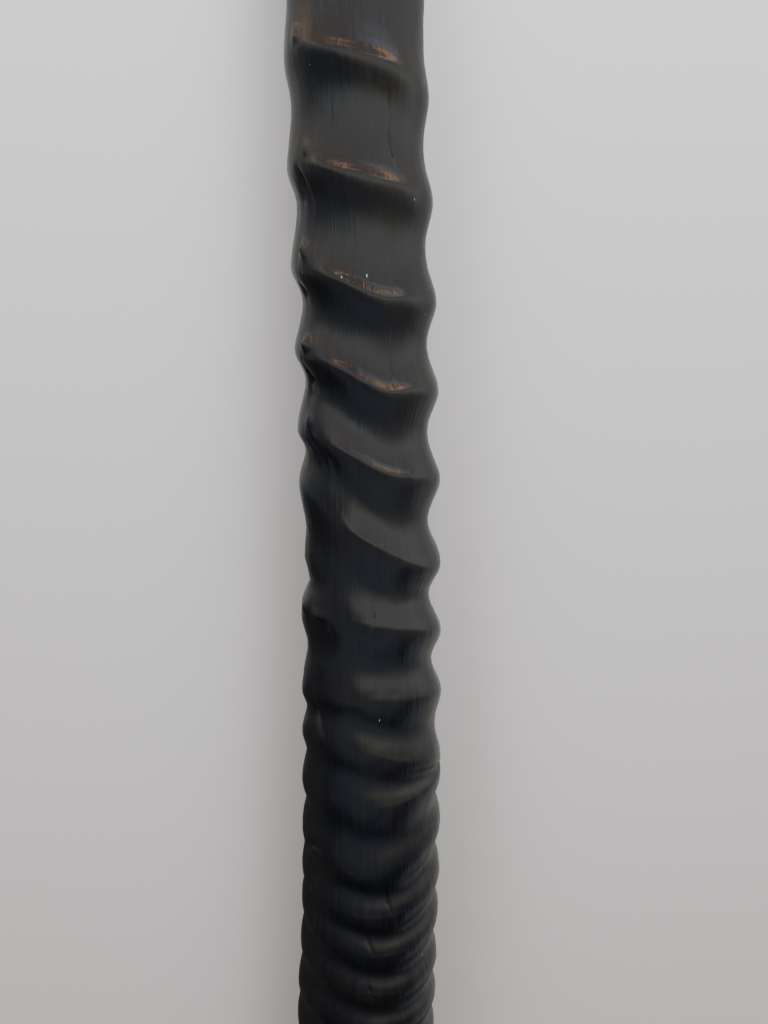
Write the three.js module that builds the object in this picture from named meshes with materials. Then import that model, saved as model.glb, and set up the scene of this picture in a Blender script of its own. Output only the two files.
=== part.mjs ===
// A gemsbok horn: one hollow sheath of keratin, ringed over its lower half and smooth to the tip.
// It grows along +Y in its own frame, base at Y = 0, and lies on its side with its widest ringed
// face up. All lengths are millimetres. Seen from above with the tip away, +X is to the right.
import * as THREE from "three";

const { clamp, degToRad, lerp, smoothstep } = THREE.MathUtils;

// ---- Driving dimensions ----
const LENGTH = 940; // sawn base to tip, along the axis
const BASE_RADIUS = 28.5; // over the ring crests at the sawn base
const TIP_RADIUS = 1.8; // the worn, blunt tip
const TIP_ROUNDING = 3; // length of the rounded cap on the tip
const SLOW_TAPER = 0.37; // share of the base radius lost by a steady taper over the whole length
const SPIKE_START = 0.44; // share of the length where the faster taper to the tip begins
const SPIKE_POWER = 1.4; // how gradually the faster taper sets in
const FLATNESS = 0.95; // thickness over width of the slightly oval section
const BOW_START = 215; // the station where the horn is straightest
const TIP_SWEEP = 50; // how far the bow carries the tip sideways, to -X
const TIP_DROP = 16.5; // how far it carries the tip down to the floor
const CAVITY_DEPTH = 380; // the hollow left by the bone core
const CAVITY_RADIUS = 22; // the hollow's mouth, in the sawn base
const CAVITY_POWER = 1.5; // the hollow narrows slowly, then quickly
const SKEW_LEFT = 0.3; // how much steeper a ring is towards the base, on the left
const SKEW_RIGHT = 0.05; // the same, on the right
const DIP_AT = degToRad(74); // the angle just right of the top where some rings dip
const DIP_SPREAD = degToRad(24); // half the width of that dip
const REST_PITCH = degToRad(-0.63); // it rests on the base, a middle ring and the tip

// ---- Resolution ----
const COLUMNS = 30; // facets around
const RING_ROWS = 5; // rows from one ring crest to the next
const SMOOTH_ROWS = 3; // rows between growth lines on the smooth part
const CAVITY_ROWS = 8;
const CAP_ROWS = 3;

// Ring crests from base to tip. at: mean station. lean: how much further towards the tip the crest
// runs on the +X side than on average. nod: the same on the upper side. left, top and right: how
// deep the groove beside the crest is there. full: how full the ring is, from -1 for a narrow ridge
// to 1 for a fat roll. dip: how much further towards the tip it runs just right of the top. skew:
// how much steeper it is on top towards the base, or towards the tip if negative.
const ringCrest = ([at, lean, nod, left, top, right, full, dip, skew]) => (
  { at, lean, nod, left, top, right, full, dip, skew }
);
const RINGS = [
  [13, -0.5, 0, 1, 1.5, 1.8, 0.2, 0, -0.2],
  [26, -1, 0, 1, 1.5, 1.9, 0.2, 0, -0.2],
  [40, -1.5, 0, 1, 1.5, 2, 0.2, 0, -0.2],
  [54.5, -2, 0, 1, 1.5, 2.2, 0.3, 0, -0.2],
  [70, -2.5, -0.5, 1, 1.5, 2.4, 0.3, 0, -0.2],
  [86.5, -3, -0.5, 1.1, 1.6, 2.5, 0.6, 0, -0.2],
  [104.5, -4, -3, 1.3, 1.8, 2.6, 0.7, 0, -0.25],
  [124, -3, -6.5, 1.5, 1.8, 2.6, 0.7, 0, -0.25],
  [140.5, -1.5, -7, 1.6, 1.9, 2.8, 0.8, 0, -0.25],
  [160, 1, -8.5, 1.6, 1.4, 2.8, 0.7, 0, -0.2],
  [179.5, 1.5, -2.5, 1.6, 1.5, 1.4, 0.2, 0, -0.25],
  [190.5, -6, 7, 1.6, 1.9, 1.8, 0.2, 0, -0.3],
  [212.5, -0.5, 5.5, 1.8, 2.2, 3, 0.1, 0, -0.35],
  [239.5, -3, 5.5, 2.4, 2.6, 4.2, 0, 0, -0.35],
  [278.5, -15.5, -4, 2.8, 3.6, 4.9, -0.2, 0.5, -0.3],
  [302.5, -9, 0.5, 2.5, 3.8, 4.3, -0.3, -2.5, -0.35],
  [332.5, -7, -2, 4.2, 3.8, 4.2, -0.4, -3.5, -0.15],
  [362, -6, -3, 3.1, 3.6, 3.4, -0.5, -2.5, 0],
  [394.5, -5.5, -2, 2.7, 3.2, 3.1, -0.8, 0, 0.15],
  [428, -5.5, 0.5, 1.6, 2.9, 2.1, -0.9, 0, 0.3],
  [463, -4, -2, 1.3, 2.3, 1.4, -0.6, 0, 0.2],
  [500, -3, -1, 0.9, 1.5, 0.9, -0.4, 0, 0.1],
  [540, -2, -1, 0.5, 0.8, 0.5, -0.3, 0, 0],
  [584, -1, 0, 0.2, 0.3, 0.2, 0, 0, 0],
].map(ringCrest);
// Growth lines with no ring: the sawn base, and those of the smooth part.
const SMOOTH_STATIONS = [650, 720, 790, 850, 895, 922, LENGTH - TIP_ROUNDING];
const plainLine = (at, groove) => ringCrest([at, 0, 0, groove, groove, groove, 0, 0, 0]);
const LINES = [plainLine(0, 1), ...RINGS, ...SMOOTH_STATIONS.map((at) => plainLine(at, 0))];

// Swellings and dents that don't run all the way round: a half ring that grew on the left side
// only and the crease below it, a fuller place on the right above the last bold ring and one on the
// left below it, a dent in the crown of the most slanting ring, and sides that are fuller near the
// base and, on the right, along all the bold rings. towards: the angle in degrees that it faces.
// reach and spread: its half length along the horn and its half width in degrees. rise: its height,
// or its depth if negative.
const SWELLS = [
  { at: 268, towards: 185, reach: 7, spread: 45, rise: 0.8 },
  { at: 257, towards: 185, reach: 4.5, spread: 45, rise: -2.8 },
  { at: 445, towards: 0, reach: 12, spread: 40, rise: 1.2 },
  { at: 385, towards: 180, reach: 55, spread: 40, rise: 0.8 },
  { at: 281, towards: 120, reach: 9, spread: 16, rise: -1 },
  { at: 75, towards: 180, reach: 30, spread: 50, rise: 1 },
  { at: 160, towards: 0, reach: 60, spread: 45, rise: 0.5 },
  { at: 330, towards: 0, reach: 150, spread: 50, rise: 0.8 },
];

// ---- The shape of the sheath ----

// How far along the bow a station is, 0 at its start and 1 at the tip.
function bowAt(station) {
  const along = (station - BOW_START) / (LENGTH - BOW_START);
  return along * along;
}

// The radius over the ring crests at a station.
function crestRadius(station) {
  const along = station / LENGTH;
  const spike = Math.max(0, (along - SPIKE_START) / (1 - SPIKE_START));
  const spikeShare = 1 - SLOW_TAPER - TIP_RADIUS / BASE_RADIUS;
  return BASE_RADIUS * (1 - SLOW_TAPER * along - spikeShare * spike ** SPIKE_POWER);
}

// How far round one angle is from another, at most half a turn either way.
function turnFrom(towards, angle) {
  const turn = angle - towards;
  return Math.atan2(Math.sin(turn), Math.cos(turn));
}

// The station of a growth line at an angle round the horn, 0 on +X and a quarter turn on top.
function stationOf(line, angle) {
  const off = turnFrom(DIP_AT, angle) / DIP_SPREAD;
  const dip = line.dip * Math.exp(-off * off);
  return line.at + line.lean * Math.cos(angle) + line.nod * Math.sin(angle) + dip;
}

// The line of growth a share t of the way from one crest to the next one towards the tip.
function lineBetween(lower, upper, t) {
  return ringCrest(Object.keys(lower).map((name) => lerp(lower[name], upper[name], t)));
}

// How far a place belongs to the ringed face: 1 on top, 0 on the sides and underneath. The face
// reaches less far left near the base.
function topShare(at, angle) {
  const along = clamp((at - 260) / 90, 0, 1);
  const left = smoothstep(Math.cos(angle), lerp(-0.5, -0.85, along), lerp(0.15, -0.25, along));
  const right = 1 - smoothstep(Math.cos(angle), 0.3, 1);
  return left * right * clamp(Math.sin(angle) / 0.15, 0, 1);
}

// A quantity known on the left, top and right, at an angle. Underneath it is as on the sides.
function aroundFrom(left, top, right, at, angle) {
  const side = lerp(left, right, (1 + Math.cos(angle)) / 2);
  return lerp(side, top, topShare(at, angle));
}

// 0 on a crest and 1 in the groove, t running from one crest to the next one towards the tip.
function grooveShape(line, angle, t) {
  const skew = aroundFrom(SKEW_LEFT, line.skew, SKEW_RIGHT, line.at, angle);
  const phase = 2 * Math.PI * (1 - t);
  const wave = 0.5 + 0.5 * Math.cos(phase + skew * (1 - Math.cos(phase)));
  const full = line.full * (0.5 + 0.5 * topShare(line.at, angle));
  return 1 - wave * (1 + full * (1 - wave));
}

// The rise of one swelling at a station and angle.
function swellRise(swell, station, angle) {
  const along = (station - swell.at) / swell.reach;
  const around = turnFrom(degToRad(swell.towards), angle) / degToRad(swell.spread);
  return swell.rise * Math.exp(-along * along - around * around);
}

// The rise of all the swellings together.
function swellsRise(station, angle) {
  return SWELLS.reduce((sum, swell) => sum + swellRise(swell, station, angle), 0);
}

// A point of a cross-section of the horn.
function sectionPoint(station, radius, angle) {
  const bow = bowAt(station);
  const x = radius * Math.cos(angle) - TIP_SWEEP * bow;
  const z = FLATNESS * radius * Math.sin(angle) - TIP_DROP * bow;
  return new THREE.Vector3(x, station, z);
}

// A row of the outside between two growth lines, as a function of the angle.
function outsideRow(lower, upper, t) {
  const line = lineBetween(lower, upper, t);
  return (angle) => {
    const station = stationOf(line, angle);
    const depth = aroundFrom(line.left, line.top, line.right, line.at, angle);
    const groove = depth * grooveShape(line, angle, t);
    const radius = crestRadius(station) - groove + swellsRise(station, angle);
    return sectionPoint(station, radius, angle);
  };
}

// A row of the rounded cap on the tip; turn runs from 0 to a quarter turn at the point.
function capRow(turn) {
  const start = LENGTH - TIP_ROUNDING;
  const station = start + TIP_ROUNDING * Math.sin(turn);
  return (angle) => sectionPoint(station, crestRadius(start) * Math.cos(turn), angle);
}

// A row of the hollow's wall, from the mouth at along = 0 to its end at along = 1.
function cavityRow(along) {
  const radius = CAVITY_RADIUS * (1 - along ** CAVITY_POWER);
  return (angle) => sectionPoint(CAVITY_DEPTH * along, radius, angle);
}

// All rows in order: the hollow from its end to its mouth, the outside, the cap.
function sheathRows() {
  const rows = [];
  for (let i = CAVITY_ROWS; i >= 0; i--) rows.push(cavityRow(i / CAVITY_ROWS));
  for (let i = 0; i + 1 < LINES.length; i++) {
    const steps = i < RINGS.length - 2 ? RING_ROWS : SMOOTH_ROWS;
    for (let k = 0; k < steps; k++) rows.push(outsideRow(LINES[i], LINES[i + 1], k / steps));
  }
  for (let k = 0; k <= CAP_ROWS; k++) rows.push(capRow((k / CAP_ROWS) * (Math.PI / 2)));
  return rows;
}

// A lathe gives the closed skin; its rows then move out to the rings, the grooves and the bow.
function sheathGeometry() {
  const rows = sheathRows();
  const last = rows.length - 1;
  const outline = rows.map((row, j) => new THREE.Vector2(j === 0 || j === last ? 0 : 1, j));
  const geometry = new THREE.LatheGeometry(outline, COLUMNS);
  const position = geometry.getAttribute("position");
  for (let i = 0; i < position.count; i++) {
    const column = Math.floor(i / rows.length) % COLUMNS;
    const angle = Math.PI / 2 - (2 * Math.PI * column) / COLUMNS;
    const point = rows[i % rows.length](angle);
    position.setXYZ(i, point.x, point.y, point.z);
  }
  geometry.computeVertexNormals();
  return geometry;
}

// ---- The part ----
const keratin = new THREE.MeshStandardMaterial({ color: 0x1f1b18, roughness: 0.38, metalness: 0 });

function makeHorn() {
  const horn = new THREE.Mesh(sheathGeometry(), keratin);
  horn.name = "horn";
  horn.rotation.x = REST_PITCH;
  return horn;
}

// The part's origin is the middle of its footprint, on the surface that it lies on.
function layDown(horn) {
  const box = new THREE.Box3().setFromObject(horn, true);
  const middle = box.getCenter(new THREE.Vector3());
  horn.position.set(-middle.x, -middle.y, -box.min.z);
  return new THREE.Group().add(horn);
}

export default layDown(makeHorn());
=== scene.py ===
"""A gemsbok horn, lying on its side on a pale studio floor.

The horn is one hollow sheath of keratin. It is modelled as a flat sheet of growth lines, which gets
its rings, fibres, folds and drying cracks while it is flat and is then rolled up. Lengths in the
horn's own frame are millimetres: base at station 0, tip along +Y, widest ringed face to +Z. Angles
round the horn start at its right-hand side (+X) and reach 90 degrees on top.
"""
import logging
import math
from dataclasses import dataclass, field
from enum import Enum

import bpy
from mathutils import Matrix, Vector


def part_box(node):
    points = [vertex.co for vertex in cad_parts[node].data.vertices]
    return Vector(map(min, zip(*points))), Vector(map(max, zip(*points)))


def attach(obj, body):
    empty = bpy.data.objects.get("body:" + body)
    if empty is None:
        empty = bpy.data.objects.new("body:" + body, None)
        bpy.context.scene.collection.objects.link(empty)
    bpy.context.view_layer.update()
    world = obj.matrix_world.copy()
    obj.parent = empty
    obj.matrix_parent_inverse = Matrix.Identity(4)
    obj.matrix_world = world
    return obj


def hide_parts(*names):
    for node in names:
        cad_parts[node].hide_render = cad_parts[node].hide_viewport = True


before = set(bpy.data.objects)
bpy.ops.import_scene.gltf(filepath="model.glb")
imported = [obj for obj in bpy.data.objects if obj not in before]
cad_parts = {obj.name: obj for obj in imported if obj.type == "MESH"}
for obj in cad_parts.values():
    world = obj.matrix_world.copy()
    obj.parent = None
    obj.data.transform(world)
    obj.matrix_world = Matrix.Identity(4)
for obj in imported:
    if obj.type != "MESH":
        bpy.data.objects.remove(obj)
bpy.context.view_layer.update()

log = logging.getLogger("horn")

MM = 0.001
IMAGE_HEIGHT = 1024

Socket = bpy.types.NodeSocket


# ---------------------------------------------------------------- Nodes

@dataclass(frozen=True)
class NodeKind:
    """A kind of node, set up for one job.

    Args:
        type_name: Its type's name.
        settings: Its own properties, as pairs of a name and a value.
        inputs: The inputs that its values go to, where they aren't simply the first ones.
        out: The output that is used.
    """

    type_name: str
    settings: tuple[tuple[str, str], ...] = ()
    inputs: tuple[int, ...] = ()
    out: int | str = 0


MATH_OPERATIONS = (
    "ADD", "SUBTRACT", "MULTIPLY", "DIVIDE", "MULTIPLY_ADD", "POWER", "SINE", "COSINE", "SQRT",
    "FLOOR", "WRAP", "MINIMUM", "MAXIMUM", "LESS_THAN", "GREATER_THAN",
)
(ADD, SUBTRACT, MULTIPLY, DIVIDE, MULTIPLY_ADD, POWER, SINE, COSINE, SQRT, FLOOR, WRAP, MINIMUM,
 MAXIMUM, LESS_THAN, GREATER_THAN) = (
    NodeKind("ShaderNodeMath", (("operation", name),)) for name in MATH_OPERATIONS
)
VECTOR_SUBTRACT, VECTOR_MULTIPLY, VECTOR_MULTIPLY_ADD = (
    NodeKind("ShaderNodeVectorMath", (("operation", name),))
    for name in ("SUBTRACT", "MULTIPLY", "MULTIPLY_ADD")
)
VECTOR_LENGTH, DOT_PRODUCT = (
    NodeKind("ShaderNodeVectorMath", (("operation", name),), out="Value")
    for name in ("LENGTH", "DOT_PRODUCT")
)
MAP_RANGE = NodeKind("ShaderNodeMapRange")
SMOOTH_RANGE = NodeKind("ShaderNodeMapRange", (("interpolation_type", "SMOOTHSTEP"),))
MIX_VECTOR = NodeKind("ShaderNodeMix", (("data_type", "VECTOR"),), (0, 4, 5), 1)
MIX_COLOUR = NodeKind("ShaderNodeMix", (("data_type", "RGBA"),), (0, 6, 7), 2)
READ, READ_VECTOR = (
    NodeKind("GeometryNodeInputNamedAttribute", (("data_type", name),))
    for name in ("FLOAT", "FLOAT_VECTOR")
)
STORE, STORE_VECTOR = (
    NodeKind("GeometryNodeStoreNamedAttribute", (("data_type", name),), (0, 2, 3))
    for name in ("FLOAT", "FLOAT_VECTOR")
)
SAMPLE, SAMPLE_VECTOR = (
    NodeKind("GeometryNodeSampleIndex", (("data_type", name),))
    for name in ("FLOAT", "FLOAT_VECTOR")
)


def add_node(tree: bpy.types.NodeTree, kind: NodeKind | str, *values, out: int | str | None = None,
             named: dict | None = None, **settings) -> Socket:
    """Adds a node with its settings and links.

    Args:
        tree: The node tree that gets the node.
        kind: The kind of node, or its type's name if it needs nothing more.
        *values: What goes into its inputs in order: a socket to link, a constant, or None to skip.
        out: The output that is returned, by index or name, if it isn't the kind's own.
        named: Inputs given by name in place of order.
        **settings: More of the node's own properties.

    Returns:
        The chosen output socket.
    """
    kind = kind if isinstance(kind, NodeKind) else NodeKind(kind)
    node = tree.nodes.new(kind.type_name)
    for name, value in (*kind.settings, *settings.items()):
        setattr(node, name, value)
    given = [*zip(kind.inputs or range(len(values)), values), *(named or {}).items()]
    for key, value in given:
        if isinstance(value, Socket):
            tree.links.new(value, node.inputs[key])
        elif value is not None:
            node.inputs[key].default_value = value
    return node.outputs[kind.out if out is None else out]


def linear(hex_colour: str) -> tuple[float, float, float, float]:
    """Turns an sRGB hex colour to linear.

    Args:
        hex_colour: The colour as six hex digits after a hash.

    Returns:
        Its linear red, green and blue, and an alpha of 1.
    """
    parts = [int(hex_colour[i:i + 2], 16) / 255 for i in (1, 3, 5)]
    red, green, blue = (c / 12.92 if c <= 0.04045 else ((c + 0.055) / 1.055) ** 2.4 for c in parts)
    return red, green, blue, 1.0


def start_material(name: str, values: dict) -> tuple[bpy.types.Material, bpy.types.NodeTree, dict]:
    """Starts a material.

    Args:
        name: Its name.
        values: Plain values for its shader's inputs, by name.

    Returns:
        The material, its node tree, and its shader's inputs by name.
    """
    material = bpy.data.materials.new(name)
    material.use_nodes = True
    shader = material.node_tree.nodes["Principled BSDF"].inputs
    for key, value in values.items():
        shader[key].default_value = value
    return material, material.node_tree, dict(shader.items())


# ---------------------------------------------------------------- Finishes

@dataclass(frozen=True)
class HornKeratin:
    """Keratin of the outside, worn smooth by handling.

    Horn is packed from lengthwise fibres under a thin glassy skin. It is near black with a little
    brown in its depth. Crests are polished and grooves are duller, and the fibres break its
    highlights up into short upright strokes.
    """

    name: str = "horn keratin"
    dark: str = "#0c0d0f"
    brown: str = "#131110"
    groove_dust: str = "#0f1012"
    crack: str = "#030303"
    speck: str = "#8f8a80"
    ior: float = 1.54
    fibre_mm: float = 0.5
    fibre_length_mm: float = 14.0
    strand_mm: float = 1.4
    strand_length_mm: float = 40.0
    patch_mm: float = 30.0
    roughness: float = 0.15
    roughness_spread: float = 0.1
    groove_roughness: float = 0.1
    crack_half_width_mm: float = 0.17
    speck_radius_mm: float = 0.22
    speck_stretch: tuple[float, float, float] = (1.2, 0.45, 1.0)
    brown_from: float = 0.08
    brown_full: float = 0.19
    dust_from: float = 0.6
    dust_most: float = 0.7
    strand_share: float = 0.8
    relief_mm: float = 0.16
    relief_strength: float = 0.7

    def make(self) -> bpy.types.Material:
        """Builds the material.

        Returns:
            The material, which reads the attributes that the horn's tree stores.
        """
        material, tree, shader = start_material(self.name, {"IOR": self.ior})
        place = add_node(tree, "ShaderNodeAttribute", attribute_name="place", out="Vector")

        def grain(width: float, length: float, detail: float) -> Socket:
            """Noise of a width across the fibres and a length along them, in millimetres."""
            scaled = add_node(tree, VECTOR_MULTIPLY, place, (1 / width, 1 / length, 1 / width))
            return add_node(tree, "ShaderNodeTexNoise", scaled,
                            named={"Scale": 1.0, "Detail": detail, "Roughness": 0.6})

        fibre = grain(self.fibre_mm, self.fibre_length_mm, 2.0)
        strand = grain(self.strand_mm, self.strand_length_mm, 2.0)
        patch = grain(self.patch_mm, self.patch_mm * 2, 2.0)
        brownness = add_node(tree, MULTIPLY, fibre, strand)
        brownness = add_node(tree, MULTIPLY, brownness, patch)
        brownness = add_node(tree, MAP_RANGE, brownness, self.brown_from, self.brown_full, 0.0, 1.0)
        colour = add_node(tree, MIX_COLOUR, brownness, linear(self.dark), linear(self.brown))
        groove = add_node(tree, "ShaderNodeAttribute", attribute_name="groove", out="Fac")
        dusty = add_node(tree, MAP_RANGE, groove, self.dust_from, 1.0, 0.0, self.dust_most)
        colour = add_node(tree, MIX_COLOUR, dusty, colour, linear(self.groove_dust))
        offset = add_node(tree, "ShaderNodeAttribute", attribute_name="crack", out="Fac")
        half = self.crack_half_width_mm
        cracked = add_node(tree, MAP_RANGE, offset, half * 0.6, half * 1.6, 1.0, 0.0)
        colour = add_node(tree, MIX_COLOUR, cracked, colour, linear(self.crack))
        to_speck = add_node(tree, "ShaderNodeAttribute", attribute_name="speck", out="Vector")
        to_speck = add_node(tree, VECTOR_MULTIPLY, to_speck, self.speck_stretch)
        away = add_node(tree, VECTOR_LENGTH, to_speck)
        away = add_node(tree, MULTIPLY_ADD, fibre, 0.6, away)
        radius = self.speck_radius_mm
        specked = add_node(tree, MAP_RANGE, away, radius * 1.6, radius * 2.4, 0.9, 0.0)
        colour = add_node(tree, MIX_COLOUR, specked, colour, linear(self.speck))
        tree.links.new(colour, shader["Base Color"])

        spread = self.roughness_spread / 2
        rough = add_node(tree, MAP_RANGE, fibre, 0.3, 0.7, self.roughness - spread,
                         self.roughness + spread)
        rough = add_node(tree, MULTIPLY_ADD, groove, self.groove_roughness, rough)
        rough = add_node(tree, MAXIMUM, rough, cracked)
        tree.links.new(rough, shader["Roughness"])
        grained = add_node(tree, MULTIPLY_ADD, strand, self.strand_share, fibre)
        bump = add_node(tree, "ShaderNodeBump",
                        named={"Strength": self.relief_strength, "Distance": self.relief_mm * MM,
                               "Height": grained})
        tree.links.new(bump, shader["Normal"])
        return material


@dataclass(frozen=True)
class SawnKeratin:
    """Keratin of the sawn base: dull and paler, with the bands that a coarse saw left."""

    name: str = "sawn horn keratin"
    dark: str = "#2b241e"
    pale: str = "#5c4d3e"
    ior: float = 1.54
    saw_band_mm: float = 5.08
    layer_mm: float = 1.1
    relief_mm: float = 0.2
    roughness: float = 0.62

    def make(self) -> bpy.types.Material:
        """Builds the material.

        Returns:
            The material, in object coordinates.
        """
        values = {"Roughness": self.roughness, "IOR": self.ior}
        material, tree, shader = start_material(self.name, values)
        place = add_node(tree, "ShaderNodeTexCoord", out="Object")
        # A diagonal wave of scale 1 turns by 10 radians for each metre that x + y + z grows, and
        # that sum grows by the root of 3 times the way across the bands.
        turn_per_metre = math.tau / (self.saw_band_mm * MM)
        saw = add_node(tree, "ShaderNodeTexWave", place, wave_type="BANDS",
                       bands_direction="DIAGONAL",
                       named={"Scale": turn_per_metre / (10 * math.sqrt(3)), "Distortion": 3.0,
                              "Detail": 2.0})
        layer = add_node(tree, "ShaderNodeTexNoise", place,
                         named={"Scale": 1 / (self.layer_mm * MM), "Detail": 3.0})
        mixed = add_node(tree, MULTIPLY, saw, layer)
        colour = add_node(tree, MIX_COLOUR, mixed, linear(self.dark), linear(self.pale))
        tree.links.new(colour, shader["Base Color"])
        bump = add_node(tree, "ShaderNodeBump",
                        named={"Strength": 0.5, "Distance": self.relief_mm * MM, "Height": saw})
        tree.links.new(bump, shader["Normal"])
        return material


@dataclass(frozen=True)
class HollowKeratin:
    """Keratin of the hollow: dry, matt and crumbly where the bone core was drawn out."""

    name: str = "dry horn keratin"
    dark: str = "#1b1613"
    pale: str = "#4a3d31"
    ior: float = 1.54
    ridge_mm: float = 1.8
    ridge_length_mm: float = 30.0
    relief_mm: float = 0.4
    roughness: float = 0.85

    def make(self) -> bpy.types.Material:
        """Builds the material.

        Returns:
            The material, which reads the sheet's place.
        """
        values = {"Roughness": self.roughness, "IOR": self.ior}
        material, tree, shader = start_material(self.name, values)
        place = add_node(tree, "ShaderNodeAttribute", attribute_name="place", out="Vector")
        across, along = 1 / self.ridge_mm, 1 / self.ridge_length_mm
        scaled = add_node(tree, VECTOR_MULTIPLY, place, (across, along, across))
        ridge = add_node(tree, "ShaderNodeTexNoise", scaled, named={"Scale": 1.0, "Detail": 4.0})
        colour = add_node(tree, MIX_COLOUR, ridge, linear(self.dark), linear(self.pale))
        tree.links.new(colour, shader["Base Color"])
        bump = add_node(tree, "ShaderNodeBump",
                        named={"Strength": 0.6, "Distance": self.relief_mm * MM, "Height": ridge})
        tree.links.new(bump, shader["Normal"])
        return material


# ---------------------------------------------------------------- The horn

@dataclass(frozen=True)
class GrowthLine:
    """A ring crest, or a line of growth with no ring.

    Args:
        at: Mean station.
        lean: How much further towards the tip it runs on the right than on average.
        nod: How much further towards the tip it runs on top.
        left: Depth of the groove beside it on the left.
        top: The same on top.
        right: The same on the right.
        full: How full the ring is, from -1 for a narrow ridge to 1 for a fat roll.
        lip: The share of its height that is a narrow lip, on the side towards the tip.
        dip: How much further towards the tip it runs just right of the top, or less if negative.
        skew: How much steeper it is on top towards the base, or towards the tip if negative.
    """

    at: float
    lean: float = 0.0
    nod: float = 0.0
    left: float = 0.0
    top: float = 0.0
    right: float = 0.0
    full: float = 0.0
    lip: float = 0.0
    dip: float = 0.0
    skew: float = 0.0


class MarkKind(Enum):
    """What a mark on the skin is."""

    CRACK = "crack"
    FOLD = "fold"
    SPECK = "speck"


@dataclass(frozen=True)
class Mark:
    """A mark that follows a short path over the skin.

    Args:
        path: Its points, each an angle in degrees and a station.
        depth: How deep it is cut at its middle. A ridge has a negative depth.
        width: Half its width.
    """

    path: tuple[tuple[float, float], ...]
    depth: float = 0.5
    width: float = 0.8


@dataclass(frozen=True)
class Relief:
    """Fine relief with no pattern.

    Args:
        grain: The size of its grains along each axis.
        height: How far it rises and falls.
        seed: A fixed number that sets it apart from the others.
    """

    grain: tuple[float, float, float]
    height: float
    seed: float


@dataclass(frozen=True)
class Swell:
    """A swelling or dent that doesn't run all the way round.

    Args:
        at: Its station.
        towards: The angle in degrees that it faces.
        reach: Its half length along the horn.
        spread: Its half width in degrees.
        rise: Its height, or its depth if negative.
    """

    at: float
    towards: float
    reach: float
    spread: float
    rise: float


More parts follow.
